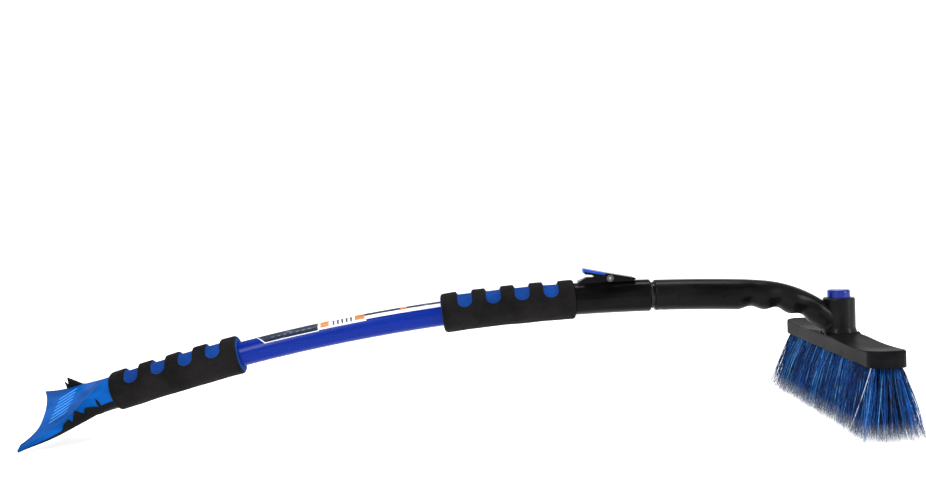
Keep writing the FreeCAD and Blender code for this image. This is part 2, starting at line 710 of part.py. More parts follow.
def around_hub(shape):
    shapes = []
    for i in range(4):
        copy = shape.copy()
        copy.rotate(ORIGIN, Z_DIR, 45 + 90 * i)
        shapes.append(copy)
    return shapes


def hub_screw_holes():
    hole = cylinder(1.5 + GAP, BLOCK_ROOF - 1, BLOCK_TOP + 2)
    hole.translate(X_DIR * HUB_SCREW_CIRCLE)
    return around_hub(hole)


def hub_screws():
    screw = cylinder(3.0, BLOCK_ROOF - 2.0, BLOCK_ROOF)
    screw = screw.fuse(cylinder(1.5, BLOCK_ROOF - 1, BLOCK_TOP + 1.5))
    screw.translate(X_DIR * HUB_SCREW_CIRCLE)
    return Part.makeCompound(around_hub(screw))


def block_dip(side):
    """Cutter for the shallow dip in the block's top, between the hub and one end."""
    start, end = BLOCK_DIP
    depth = BLOCK_DIP_DEPTH
    radius = (((end - start) / 2) ** 2 + depth**2) / (2 * depth)
    centre = Vector(-BLOCK_WIDTH, side * (start + end) / 2, BLOCK_TOP + radius - depth)
    return Part.makeCylinder(radius, 2 * BLOCK_WIDTH, centre, X_DIR)


def brush_block():
    block = flat_bar(BLOCK_WIDTH, BLOCK_LENGTH, 15.5, BLOCK_BOTTOM, BLOCK_TOP)
    block = round_edges(block, 2.6, lambda e: e.BoundBox.ZMin > BLOCK_TOP - 0.1)
    for side in (1, -1):
        block = block.cut(block_dip(side))
    collar = Part.makeCone(SOCKET_R + 8.0, SOCKET_R + 3.0, 3.5, Vector(0, 0, BLOCK_TOP - 2))
    collar = collar.cut(cylinder(SOCKET_R + 2.2, BLOCK_TOP - 3, BLOCK_TOP + 3))
    collar = collar.common(flat_bar(BLOCK_WIDTH - 1.0, 80.0, 15.0, BLOCK_TOP - 3, BLOCK_TOP + 3))
    block = block.fuse(collar).removeSplitter()
    inside = 2 * BLOCK_WALL
    cavity = flat_bar(BLOCK_WIDTH - inside, BLOCK_LENGTH - inside, 13.0, BLOCK_BOTTOM - 1, BLOCK_ROOF)
    return block.cut([cavity, cylinder(FLANGE_R + GAP, BLOCK_TOP - 3 - GAP, BLOCK_TOP + 1)]
                     + hub_screw_holes())


def tuft_board():
    inside = 2 * BLOCK_WALL + 4 * GAP
    low = BLOCK_BOTTOM + 0.4
    return flat_bar(BLOCK_WIDTH - inside, BLOCK_LENGTH - inside, 12.9, low, low + BOARD_THICKNESS)


def bristles():
    """The bristles as one flared body, from the board down to the floor."""
    low, high = 0.0, BLOCK_BOTTOM + 0.4
    tip = rounded_rectangle(BRISTLE_TIP[0], -BRISTLE_TIP[1] / 2, BRISTLE_TIP[1] / 2, 24.0,
                            lambda u, v: Vector(u + BRISTLE_LEAN, v, low))
    root = rounded_rectangle(BRISTLE_ROOT[0], -BRISTLE_ROOT[1] / 2, BRISTLE_ROOT[1] / 2, 12.0,
                             lambda u, v: Vector(u, v, high))
    return Part.makeLoft([tip, root], True, True)


PIECES = {
    "scraper_base": scraper_base,
    "scraper_overlay": scraper_overlay,
    "tang_pin": tang_pin,
    "outer_tube": outer_tube,
    "rear_grip_core": lambda: grip_core(REAR_GRIP),
    "rear_grip_skin": lambda: grip_skin(REAR_GRIP),
    "front_grip_core": lambda: grip_core(FRONT_GRIP),
    "front_grip_skin": lambda: grip_skin(FRONT_GRIP),
    "connector": connector,
    "connector_screws": connector_screws,
    "guide_bush": guide_bush,
    "wiper_ring": wiper_ring,
    "lever_rivet": lever_rivet,
    "lever_spring": lever_spring,
    "lever_channel": lever_channel,
    "thumb_pad": thumb_pad,
    "lock_pin": lock_pin,
    "inner_tube": inner_tube,
    "end_bush": end_bush,
    "stop_ring": stop_ring,
    "arm": arm,
    "arm_pins": arm_pins,
    "spline_ring": spline_ring,
    "swivel_button": swivel_button,
    "lock_gear": lock_gear,
    "button_spring": button_spring,
    "hub": hub,
    "retaining_clip": retaining_clip,
    "hub_screws": hub_screws,
    "brush_block": brush_block,
    "tuft_board": tuft_board,
    "bristles": bristles,
}


def main():
    os.makedirs("parts", exist_ok=True)
    for name, make in PIECES.items():
        shape = make()
        shape.translate(Vector(-MIDDLE_X, 0, 0))
        shape.exportStep(f"parts/{name}.step")
        box = shape.BoundBox
        print(f"{name:18s} valid {shape.isValid()} solids {len(shape.Solids)} volume {shape.Volume:9.0f}"
              f"  x {box.XMin:7.1f} {box.XMax:7.1f}  y {box.YMin:6.1f} {box.YMax:6.1f}"
              f"  z {box.ZMin:6.1f} {box.ZMax:6.1f}")


main()
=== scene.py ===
"""Looks of the snow brush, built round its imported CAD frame.

Lengths are in metres, in the frame's own axes: +X along the handle towards the brush, +Z up.
"""

import math
import random

import bpy
from mathutils import Matrix, Vector


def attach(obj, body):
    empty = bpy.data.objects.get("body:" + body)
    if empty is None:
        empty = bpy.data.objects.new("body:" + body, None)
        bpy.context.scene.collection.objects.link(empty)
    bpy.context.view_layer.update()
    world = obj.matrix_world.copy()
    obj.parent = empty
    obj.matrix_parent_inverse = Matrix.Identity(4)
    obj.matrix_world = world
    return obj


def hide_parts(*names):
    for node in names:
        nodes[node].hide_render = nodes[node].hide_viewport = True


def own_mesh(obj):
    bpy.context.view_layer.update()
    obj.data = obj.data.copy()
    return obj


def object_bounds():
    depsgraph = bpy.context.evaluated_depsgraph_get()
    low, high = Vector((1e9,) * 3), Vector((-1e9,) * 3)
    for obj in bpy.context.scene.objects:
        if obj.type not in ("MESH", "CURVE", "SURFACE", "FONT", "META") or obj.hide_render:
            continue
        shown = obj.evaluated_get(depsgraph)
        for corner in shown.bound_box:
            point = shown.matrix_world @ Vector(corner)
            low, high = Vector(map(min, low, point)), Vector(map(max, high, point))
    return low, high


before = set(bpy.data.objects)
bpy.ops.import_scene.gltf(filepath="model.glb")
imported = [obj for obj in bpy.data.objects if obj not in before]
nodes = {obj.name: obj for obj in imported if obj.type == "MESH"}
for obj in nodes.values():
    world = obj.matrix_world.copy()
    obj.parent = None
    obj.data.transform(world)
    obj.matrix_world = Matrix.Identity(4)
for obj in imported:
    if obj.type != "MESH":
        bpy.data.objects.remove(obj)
cad_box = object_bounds()

# --- the handle's curve, as the CAD has it -----------------------------------------------------
CURVE_R = 1.96
CURVE_X, CURVE_Z = 0.203494, -1.830595
BEND_HEADING = math.radians(-3.955)
HANDLE_LENGTH = 0.6945
TUBE_R = 0.013
GRIP_R = 0.021
REAR_GRIP = (0.0, 0.141)
FRONT_GRIP = (0.3593, 0.4997)
FIRST_RECESS = 0.0256
SWIVEL_X = 0.42070
BLADE_CANT = math.radians(23)


def heading(s):
    return BEND_HEADING + (HANDLE_LENGTH - s) / CURVE_R


def on_handle(s, around, r):
    """A point at a station, turned around the axis from the top towards the near side."""
    h = heading(s)
    out = CURVE_R + r * math.cos(around)
    return (CURVE_X - math.sin(h) * out, -r * math.sin(around), CURVE_Z + math.cos(h) * out)


def smooth(low, high, x):
    t = min(max((x - low) / (high - low), 0.0), 1.0)
    return t * t * (3 - 2 * t)


# --- materials ---------------------------------------------------------------------------------
class Nodes:
    """A material's node tree, written as short calls."""

    def __init__(self, name):
        self.material = bpy.data.materials.new(name)
        self.material.use_nodes = True
        self.tree = self.material.node_tree
        self.shader = self.tree.nodes["Principled BSDF"]
        self.place = self.add("ShaderNodeTexCoord").outputs["Object"]

    def add(self, kind, **props):
        node = self.tree.nodes.new(kind)
        for key, value in props.items():
            setattr(node, key, value)
        return node

    def link(self, source, target):
        self.tree.links.new(source, target)

    def put(self, name, value):
        """Sets or links one of the shader's own sockets."""
        self.feed(self.shader.inputs[name], value)

    def feed(self, socket, value):
        if isinstance(value, bpy.types.NodeSocket):
            self.link(value, socket)
        else:
            socket.default_value = value

    def stretched(self, scale):
        node = self.add("ShaderNodeMapping")
        self.link(self.place, node.inputs["Vector"])
        node.inputs["Scale"].default_value = scale
        return node.outputs["Vector"]

    def noise(self, scale, detail=3.0, where=None):
        node = self.add("ShaderNodeTexNoise")
        self.link(where or self.place, node.inputs["Vector"])
        node.inputs["Scale"].default_value = scale
        node.inputs["Detail"].default_value = detail
        return node.outputs["Fac"]

    def cells(self, scale):
        node = self.add("ShaderNodeTexVoronoi")
        self.link(self.place, node.inputs["Vector"])
        node.inputs["Scale"].default_value = scale
        return node.outputs["Distance"]

    def math(self, operation, a, b=0.5):
        node = self.add("ShaderNodeMath", operation=operation)
        self.feed(node.inputs[0], a)
        self.feed(node.inputs[1], b)
        return node.outputs[0]

    def span(self, value, low, high, to_low, to_high):
        node = self.add("ShaderNodeMapRange", interpolation_type="SMOOTHSTEP")
        for name, v in (("Value", value), ("From Min", low), ("From Max", high),
                        ("To Min", to_low), ("To Max", to_high)):
            self.feed(node.inputs[name], v)
        return node.outputs[0]

    def mix(self, fac, a, b):
        node = self.add("ShaderNodeMix", data_type="RGBA")
        self.feed(node.inputs["Factor"], fac)
        for socket, colour in ((node.inputs[6], a), (node.inputs[7], b)):
            linked = isinstance(colour, bpy.types.NodeSocket)
            self.feed(socket, colour if linked else (*colour, 1.0))
        return node.outputs[2]

    def axis(self, index):
        node = self.add("ShaderNodeSeparateXYZ")
        self.link(self.place, node.inputs[0])
        return node.outputs[index]

    def attribute(self, name, output="Fac"):
        return self.add("ShaderNodeAttribute", attribute_name=name).outputs[output]

    def edges(self, radius):
        """How sharply the surface turns within this radius, and the rounded normal there."""
        bevel = self.add("ShaderNodeBevel", samples=4)
        bevel.inputs["Radius"].default_value = radius
        plain = self.add("ShaderNodeNewGeometry").outputs["Normal"]
        dot = self.add("ShaderNodeVectorMath", operation="DOT_PRODUCT")
        self.link(bevel.outputs[0], dot.inputs[0])
        self.link(plain, dot.inputs[1])
        return self.math("SUBTRACT", 1.0, dot.outputs["Value"]), bevel.outputs[0]

    def bump(self, *layers, normal=None):
        """Adds up bump layers, each a height and the distance it stands for."""
        for height, distance in layers:
            node = self.add("ShaderNodeBump")
            node.inputs["Distance"].default_value = distance
            self.link(height, node.inputs["Height"])
            if normal is not None:
                self.link(normal, node.inputs["Normal"])
            normal = node.outputs[0]
        self.link(normal, self.shader.inputs["Normal"])


# where and how pale the painted light through the blade's thin front edge is
BLADE_LIP = (-0.4600, -0.4520)
LIP_SLANT = -0.30
LIP_PALE = (0.34, 0.44, 0.62)


def moulded(name, colour, rough, edge=0.0006, grain=0.00003, gloss=0.5, wear=0.25,
            seam=None, pale=None, lip=False):
    """Moulded plastic: fine spark grain, faint flow marks, rubbed edges and a parting line.

    seam is the axis across the parting line and its place on it; lip pales the blade's thin front
    edge as painted light shining through it.
    """
    n = Nodes(name)
    turn, normal = n.edges(edge)
    fine = n.noise(2600, 2)
    marks = n.noise(38, 4, n.stretched((0.35, 1.0, 1.0)))
    patches = n.noise(14, 3)
    dark = tuple(c * 0.72 for c in colour)
    light = tuple(min(c * 1.25 + 0.004, 1) for c in colour)
    tone = n.mix(n.span(marks, 0.32, 0.68, 0.0, 1.0), dark, light)
    rubbed = n.math("MULTIPLY", n.span(turn, 0.02, 0.22, 0.0, wear),
                    n.span(n.noise(420, 4), 0.38, 0.62, 0.0, 1.0))
    tone = n.mix(rubbed, tone, pale or tuple(c * 0.5 + 0.12 for c in colour))
    if lip:
        # painted light: the blade's thin front edge is mixed towards a pale blue, as if light shone
        # through it, with a ragged noisy boundary
        along = n.math("SUBTRACT", n.axis(0), n.math("MULTIPLY", n.axis(1), LIP_SLANT))
        painted_lip_light = n.math("ADD", along, n.math("MULTIPLY", n.noise(160, 4), 0.010))
        tone = n.mix(n.span(painted_lip_light, *BLADE_LIP, 0.85, 0.0), tone, LIP_PALE)
    n.put("Base Color", tone)
    texture = n.math("ADD", n.math("MULTIPLY", fine, 0.5), n.math("MULTIPLY", patches, 0.5))
    n.put("Roughness", n.span(texture, 0.3, 0.7, rough * 0.8, rough * 1.25))
    n.put("Specular IOR Level", gloss)
    layers = [(marks, 0.00012), (fine, grain)]
    if seam is not None:
        axis, at = seam
        off = n.math("ABSOLUTE", n.math("SUBTRACT", n.axis(axis), at))
        layers.append((n.span(off, 0.0001, 0.0004, 1.0, 0.0), 0.00012))
    n.bump(*layers, normal=normal)
    return n.material


def painted(name, colour):
    """Gloss paint on drawn tube: orange peel, drawing lines under it and small dust specks."""
    n = Nodes(name)
    lines = n.noise(900, 2, n.stretched((0.01, 1.0, 1.0)))
    peel = n.noise(240, 2)
    specks = n.span(n.cells(520), 0.02, 0.07, 1.0, 0.0)
    tone = n.mix(n.span(lines, 0.35, 0.65, 0.0, 1.0), tuple(c * 0.86 for c in colour), colour)
    tone = n.mix(n.math("MULTIPLY", specks, 0.10), tone, (0.10, 0.16, 0.4))
    n.put("Base Color", tone)
    n.put("Roughness", n.span(n.noise(900, 2), 0.3, 0.7, 0.20, 0.28))
    n.put("Specular IOR Level", 0.10)
    n.bump((lines, 0.00001), (peel, 0.00003))
    return n.material


def metal(name, colour, rough, brushed=(1.0, 1.0, 0.02)):
    """Metal with drawn or turned lines along the axis that brushed shrinks, and faint stains."""
    n = Nodes(name)
    _, normal = n.edges(0.0003)
    lines = n.noise(2400, 3, n.stretched(brushed))
    stain = n.noise(130, 4)
    tone = n.mix(n.span(stain, 0.35, 0.7, 0.0, 1.0), colour, tuple(c * 0.75 for c in colour))
    n.put("Base Color", tone)
    n.put("Metallic", 1.0)
    n.put("Roughness", n.span(lines, 0.3, 0.7, rough * 0.7, rough * 1.4))
    n.bump((lines, 0.00002), normal=normal)
    return n.material


def foam(name):
    """Two-colour laminated foam; the mesh says how far each point is inside a finger recess."""
    n = Nodes(name)
    cells = n.cells(1500)
    lumps = n.noise(210, 5)
    wide = n.noise(24, 3)
    ragged = n.math("MULTIPLY", n.math("SUBTRACT", lumps, 0.5), 0.10)
    depth = n.math("ADD", n.attribute("core"), ragged)
    blue = n.mix(n.span(wide, 0.35, 0.65, 0.0, 1.0),
                 (0.0030, 0.032, 0.170), (0.0050, 0.048, 0.240))
    skin = n.mix(n.span(wide, 0.35, 0.65, 0.0, 1.0),
                 (0.0040, 0.0036, 0.0036), (0.0080, 0.0072, 0.0072))
    # painted shade: the foam's pores are darkened towards near black
    pore_shade = n.span(cells, 0.0, 0.32, 1.0, 0.0)
    tone = n.mix(n.span(depth, 0.47, 0.53, 0.0, 1.0), skin, blue)
    tone = n.mix(n.math("MULTIPLY", pore_shade, 0.45), tone, (0.004, 0.004, 0.006))
    n.put("Base Color", tone)
    n.put("Roughness", n.span(lumps, 0.3, 0.7, 0.78, 0.96))
    n.put("Specular IOR Level", 0.08)
    n.bump((wide, 0.0006), (lumps, 0.00022), (cells, 0.00018))
    return n.material


def filament(name):
    """Thin plastic filament in its own colour, streaked along its length and clearer at its tip."""
    n = Nodes(name)
    streak = n.noise(700, 3, n.stretched((1.0, 1.0, 0.06)))
    tone = n.attribute("fibre", "Color")
    shade = n.mix(n.span(streak, 0.3, 0.7, 0.0, 0.55), tone, (0.004, 0.007, 0.020))
    n.put("Base Color", shade)
    n.put("Roughness", n.span(streak, 0.3, 0.7, 0.34, 0.55))
    n.put("Specular IOR Level", 0.16)
    n.put("Alpha", n.span(n.attribute("tip"), 0.80, 1.0, 1.0, 0.45))
    n.bump((streak, 0.00006))
    return n.material


def printed(name, colour):
    """Ink on vinyl film, slightly uneven, with fine scuffs."""
    n = Nodes(name)
    grain = n.noise(1500, 3)
    scuffs = n.span(n.noise(300, 5, n.stretched((0.2, 1.0, 1.0))), 0.60, 0.72, 0.0, 0.25)
    tone = n.mix(n.span(grain, 0.3, 0.7, 0.0, 1.0), tuple(c * 0.88 for c in colour), colour)
    n.put("Base Color", n.mix(scuffs, tone, (0.5, 0.53, 0.6)))
    n.put("Roughness", n.span(grain, 0.3, 0.7, 0.24, 0.38))
    n.put("Specular IOR Level", 0.2)
    n.bump((grain, 0.00001))
    return n.material


satin_black = moulded("satin_black", (0.0016, 0.0016, 0.0019), 0.28, gloss=0.08, seam=(1, 0.0),
                      wear=0.08)
blade_black = moulded("blade_black", (0.0022, 0.0022, 0.0026), 0.42, gloss=0.05, grain=0.00005,
                      wear=0.14)
block_black = moulded("block_black", (0.0030, 0.0030, 0.0036), 0.42, edge=0.0010, gloss=0.02,
                      seam=(2, 0.0690), wear=0.06)
gloss_black = moulded("gloss_black", (0.0006, 0.0006, 0.0008), 0.16, gloss=0.06, grain=0.00001,
                      seam=(1, 0.0), wear=0.08)
azure = moulded("azure", (0.0001, 0.0610, 0.2700), 0.34, edge=0.0007, gloss=0.012, wear=0.05,
                pale=(0.01, 0.20, 0.60), lip=True)
bar_blue = moulded("bar_blue", (0.0300, 0.2300, 0.7000), 0.24, edge=0.0005, gloss=0.25, wear=0.3,
                   pale=(0.20, 0.52, 0.90))
button_blue = moulded("button_blue", (0.0001, 0.0090, 0.1600), 0.10, edge=0.0008, grain=0.00001,
                      gloss=0.20, wear=0.04)
pad_blue = moulded("pad_blue", (0.0010, 0.0440, 0.3300), 0.26, edge=0.0008, gloss=0.20, wear=0.1)
nylon = moulded("nylon", (0.50, 0.50, 0.46), 0.45, wear=0.1)
black_rubber = moulded("black_rubber", (0.012, 0.012, 0.012), 0.62, wear=0.05)
blue_paint = painted("blue_paint", (0.0001, 0.0150, 0.2000))
steel = metal("steel", (0.36, 0.36, 0.37), 0.28)
bright_ring = metal("bright_ring", (0.020, 0.020, 0.022), 0.14)
rivet_steel = metal("rivet_steel", (0.09, 0.09, 0.095), 0.16)
bare_tube = metal("bare_tube", (0.40, 0.41, 0.43), 0.30, (0.02, 1.0, 1.0))
foam_layers = foam("foam_layers")
filaments = filament("filaments")

NODE_MATERIALS = {
    "scraper_base": blade_black, "scraper_overlay": azure, "tang_pin": steel,
    "outer_tube": blue_paint, "connector": gloss_black, "connector_screws": steel,
    "guide_bush": nylon, "wiper_ring": black_rubber, "lever_rivet": rivet_steel,
    "lever_spring": steel, "lever_channel": gloss_black, "thumb_pad": pad_blue,
    "lock_pin": steel, "inner_tube": bare_tube, "end_bush": nylon, "stop_ring": bright_ring,
    "arm": satin_black, "arm_pins": satin_black, "spline_ring": nylon,
    "swivel_button": button_blue, "lock_gear": nylon, "button_spring": steel,
    "hub": satin_black, "retaining_clip": steel, "hub_screws": steel,
    "brush_block": block_black, "tuft_board": block_black,
}


def dress(node, material):
    node.data.materials.clear()
    node.data.materials.append(material)


for node_name, node_material in NODE_MATERIALS.items():
    dress(nodes[node_name], node_material)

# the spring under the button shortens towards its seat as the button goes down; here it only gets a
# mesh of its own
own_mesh(nodes["button_spring"])


# --- mesh helpers ------------------------------------------------------------------------------
def add_object(name, points, faces, materials, body):
    """A smooth-shaded mesh that rides on a body of the part."""
    mesh = bpy.data.meshes.new(name)
    mesh.from_pydata([tuple(p) for p in points], [], faces)
    for material in materials:
        mesh.materials.append(material)
    mesh.polygons.foreach_set("use_smooth", [True] * len(mesh.polygons))
    mesh.update()
    obj = bpy.data.objects.new(name, mesh)
    bpy.context.scene.collection.objects.link(obj)
    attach(obj, body)
    return obj


def point_values(obj, name, values):
    layer = obj.data.attributes.new(name, "FLOAT", "POINT")
    layer.data.foreach_set("value", values)


# --- foam grips --------------------------------------------------------------------------------
RECESS_R = 0.0077
RECESS_HALF = math.radians(52)
RECESS_PITCH = 0.030
RECESS_DEPTH = 0.0034
RECESS_COUNT = 4
RECESS_BLEND = 0.0012
GRIP_ROUNDING = 0.0042
GRIP_BORE_R = TUBE_R + 0.0001
END_RINGS = 5
FOAM_WAVE = 0.00012


def recess(s, around, centres):
    """1 in the floor of a finger recess, 0 on the grip's skin, 0.5 at the cut edge."""
    off = min(abs(s - c) for c in centres)
    past = max(abs(around) - RECESS_HALF, 0.0) * GRIP_R
    return 1 - smooth(RECESS_R - RECESS_BLEND, RECESS_R + RECESS_BLEND, math.hypot(off, past))


SKIN, BLUE_END, BLACK_END = range(3)


def grip_profile(start, end, dark_end):
    """Stations and radii round the sleeve's section: skin, far end, bore and near end."""
    profile = []
    rows = 190
    for i in range(rows + 1):
        s = start + (end - start) * i / rows
        d = min(s - start, end - s)
        drop = 0.0
        if d < GRIP_ROUNDING:
            drop = GRIP_ROUNDING - math.sqrt(GRIP_ROUNDING**2 - (GRIP_ROUNDING - d) ** 2)
        profile.append((s, GRIP_R - drop, SKIN))
    flat = GRIP_R - GRIP_ROUNDING
    rings = [flat - (flat - GRIP_BORE_R) * i / END_RINGS for i in range(1, END_RINGS + 1)]
    profile += [(end, r, BLACK_END if dark_end else BLUE_END) for r in rings]
    profile.append(((start + end) / 2, GRIP_BORE_R, BLUE_END))
    profile += [(start, r, BLUE_END) for r in reversed(rings)]
    return profile


def grip(name, span, seed, replaced, dark_end=False):
    """One foam grip as a closed sleeve: skin, two laminated ends and the bore on the tube."""
    rng = random.Random(seed)
    start, end = span
    centres = [start + FIRST_RECESS + i * RECESS_PITCH for i in range(RECESS_COUNT)]
    around_count = 168
    profile = grip_profile(start, end, dark_end)
    swell = [rng.uniform(0, 6.28) for _ in range(3)]
    points, core = [], []
    for s, r, kind in profile:
        for j in range(around_count):
            a = (2 * math.pi * j / around_count + math.pi) % (2 * math.pi) - math.pi
            if kind != SKIN:
                points.append(on_handle(s, a, r))
                core.append(0.0 if kind == BLACK_END else 1.0)
                continue
            dip = recess(s, a, centres)
            wave = FOAM_WAVE * (math.sin(9 * a + swell[0] + 160 * s)
                                + math.sin(4 * a + swell[1] - 90 * s)
                                + math.sin(3 * a + swell[2] + 40 * s))
            edge = smooth(0.0, 0.004, min(s - start, end - s))
            out = r - RECESS_DEPTH * dip * edge + (wave - 0.0003) * edge
            points.append(on_handle(s, a, out))
            blue_end = s - start if dark_end else min(s - start, end - s)
            core.append(max(dip, smooth(0.0012, 0.0, blue_end)))
    count = len(profile)
    faces = []
    for i in range(count):
        for j in range(around_count):
            a, b = i * around_count, (i + 1) % count * around_count
            k = (j + 1) % around_count
            faces.append((a + j, b + j, b + k, a + k))
    obj = add_object(name, points, faces, [foam_layers], "handle")
    point_values(obj, "core", core)
    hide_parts(*replaced)
    return obj


grip("rear_grip", REAR_GRIP, 3, ("rear_grip_core", "rear_grip_skin"))
grip("front_grip", FRONT_GRIP, 5, ("front_grip_core", "front_grip_skin"), dark_end=True)


# --- printed label on the tube -----------------------------------------------------------------
INKS = [
    printed("ink_slate", (0.0075, 0.0130, 0.0330)), printed("ink_white", (0.70, 0.74, 0.84)),
    printed("ink_orange", (0.52, 0.190, 0.035)), printed("ink_tan", (0.44, 0.150, 0.022)),
    printed("ink_grey", (0.055, 0.085, 0.150)),
]
SLATE, WHITE, ORANGE, TAN, GREY = range(5)
UNDER, OVER, TOP, MARKS = 0.00008, 0.00014, 0.00018, 0.00020
LABEL_PATCHES = (
    (WHITE, (0.1590, 0.2290), 1.10, UNDER, 0.0105, 24),
    (SLATE, (0.1603, 0.2282), 1.03, OVER, 0.0105, 24),
    (WHITE, (0.2290, 0.2800), 1.02, UNDER, 0.0, 24),
    (ORANGE, (0.2310, 0.2400), 0.85, OVER, 0.0, 4),
    (TAN, (0.2680, 0.2785), 0.80, OVER, 0.0, 4),
    (WHITE, (0.2800, 0.3590), 0.88, UNDER, 0.0, 30),
    (SLATE, (0.2785, 0.3590), 0.50, OVER, 0.0, 30),
    (ORANGE, (0.3165, 0.3235), 0.55, TOP, 0.0, 4),
)


def film(points, faces, slots, slot, span, sweep, lift, slant, steps):
    """A patch of film on the tube between two stations; slant sets its start back at the sides."""
    first = len(points)
    wide = max(2, int((sweep[1] - sweep[0]) / 0.12))
    for i in range(steps + 1):
        for j in range(wide + 1):
            a = sweep[0] + (sweep[1] - sweep[0]) * j / wide
            s = span[0] + (span[1] - span[0]) * i / steps
            points.append(on_handle(s + slant * abs(a) * (1 - i / steps), a, TUBE_R + lift))
    for i in range(steps):
        for j in range(wide):
            k = first + i * (wide + 1) + j
            faces.append((k, k + wide + 1, k + wide + 2, k + 1))
            slots.append(slot)


def label():
    """The label's patches, then a row of short bars and a row of small marks on each side."""
    points, faces, slots = [], [], []
    for ink, span, half, lift, slant, steps in LABEL_PATCHES:
        film(points, faces, slots, ink, span, (-half, half), lift, slant, steps)
    rows = (
        (SLATE, 5, 0.2435, 0.0047, 0.0026, (0.30, 0.84), OVER, 0.0012),
        (GREY, 7, 0.1780, 0.0066, 0.0034, (0.62, 0.74), MARKS, 0.0),
    )
    for side in (-1, 1):
        for ink, count, first, pitch, length, sweep, lift, slant in rows:
            for k in range(count):
                s = first + pitch * k
                film(points, faces, slots, ink, (s, s + length),
                     sorted((side * sweep[0], side * sweep[1])), lift, slant, 2)
    obj = add_object("tube_label", points, faces, INKS, "handle")
    obj.data.polygons.foreach_set("material_index", slots)


label()


# --- raised bars on the blade ------------------------------------------------------------------
BLADE_TOP = ((0.030, 0.0105), (0.052, 0.0060), (0.076, 0.0032), (0.100, 0.0014))
BAR_COUNT = 7
BAR_FIRST, BAR_PITCH = -0.0215, 0.0075
BAR_START, BAR_LENGTH = 0.047, 0.0215
BAR_SLANT = 0.0042
BAR_HALF_WIDTH, BAR_HEIGHT, BAR_SUNK = 0.0011, 0.00065, 0.0002


def blade_frame():
    """The scraper's own axes: out along the blade from the handle's end, across it, and up."""
    h = heading(0)
    place = Matrix.Translation(on_handle(0, 0, 0)) @ Matrix.Rotation(-h, 4, "Y")
    return place @ Matrix.Rotation(math.pi, 4, "Z") @ Matrix.Rotation(-BLADE_CANT, 4, "X")


def blade_height(x):
    """Height of the overlay's top face at a distance along the blade."""
    for near, far in zip(BLADE_TOP, BLADE_TOP[1:]):
        if x <= far[0]:
            return near[1] + (far[1] - near[1]) * (x - near[0]) / (far[0] - near[0])
    return BLADE_TOP[-1][1]


def blade_bars():
    """Slanted ribs with rounded backs, in a row across the overlay."""
    place = blade_frame()
    points, faces = [], []
    steps, section = 14, 7
    for k in range(BAR_COUNT):
        middle = BAR_FIRST + BAR_PITCH * k
        for i in range(steps + 1):
            t = i / steps
            x = BAR_START + BAR_LENGTH * t
            y = middle - BAR_SLANT + 2 * BAR_SLANT * t
            swell = math.sqrt(max(1 - (2 * t - 1) ** 8, 0.0))
            for j in range(section):
                a = math.pi * j / (section - 1)
                side = BAR_HALF_WIDTH * math.cos(a) * (0.6 + 0.4 * swell)
                up = BAR_HEIGHT * math.sin(a) * swell - BAR_SUNK
                points.append(place @ Vector((x, y + side, blade_height(x) + up)))
        base = k * (steps + 1) * section
        for i in range(steps):
            for j in range(section - 1):
                p = base + i * section + j
                faces.append((p, p + section, p + section + 1, p + 1))
            p = base + i * section
            faces.append((p + section - 1, p + 2 * section - 1, p + section, p))
        faces.append(tuple(base + j for j in range(section)))
        faces.append(tuple(base + steps * section + j for j in reversed(range(section))))
    obj = add_object("blade_bars", points, faces, [bar_blue], "handle")


blade_bars()


# --- bristles ----------------------------------------------------------------------------------
ROOT_Z = 0.0664
ROOT_HALF = (0.0128, 0.1325)
TIP_HALF = (0.0275, 0.1560)
TIP_LIMIT = (0.0298, 0.1588)
TIP_LEAN = -0.0030
TUFT_ROWS = 5
TUFTS_PER_ROW = (43, 44)
TUFT_R = 0.0021
STRANDS = 44
STRAND_R = 0.00023
STRAND_STATIONS = (0.0, 0.3, 0.55, 0.76, 0.87, 1.0)
SIDES = 3
SIDE_TURN = 2.094
# filament colours and their shares; the brightest, pale azure tone is partly the filaments' own
# colour and partly painted highlight streaks
TONES = (
    ((0.0020, 0.1300, 0.5200), 0.27), ((0.0010, 0.0580, 0.3000), 0.23),
    ((0.0008, 0.0150, 0.1000), 0.19), ((0.0010, 0.0030, 0.0150), 0.12),
    ((0.0025, 0.0028, 0.0045), 0.09), ((0.1100, 0.4200, 0.8800), 0.10),
)
PALE_TIP = Vector((0.42, 0.47, 0.54))
DARK_TIP = Vector((0.14, 0.14, 0.15))
STRAY_TONE = Vector((0.75, 0.85, 0.95))


def pick_tone(rng):
    """One of the filament colours, each as often as its share says."""
    spot = rng.random()
    for colour, share in TONES:
        spot -= share
        if spot < 0:
            return colour
    return TONES[0][0]


def tuft_places():
    """Staggered rows of tufts, kept inside the round ends of the board."""
    places = []
    for row in range(TUFT_ROWS):
        across = 2 * row / (TUFT_ROWS - 1) - 1
        x = ROOT_HALF[0] * across * 0.9
        count = TUFTS_PER_ROW[row % 2]
        reach = ROOT_HALF[1] - 0.0045 * abs(across) ** 2
        for i in range(count):
            places.append((x, reach * (2 * i / (count - 1) - 1)))
    return places


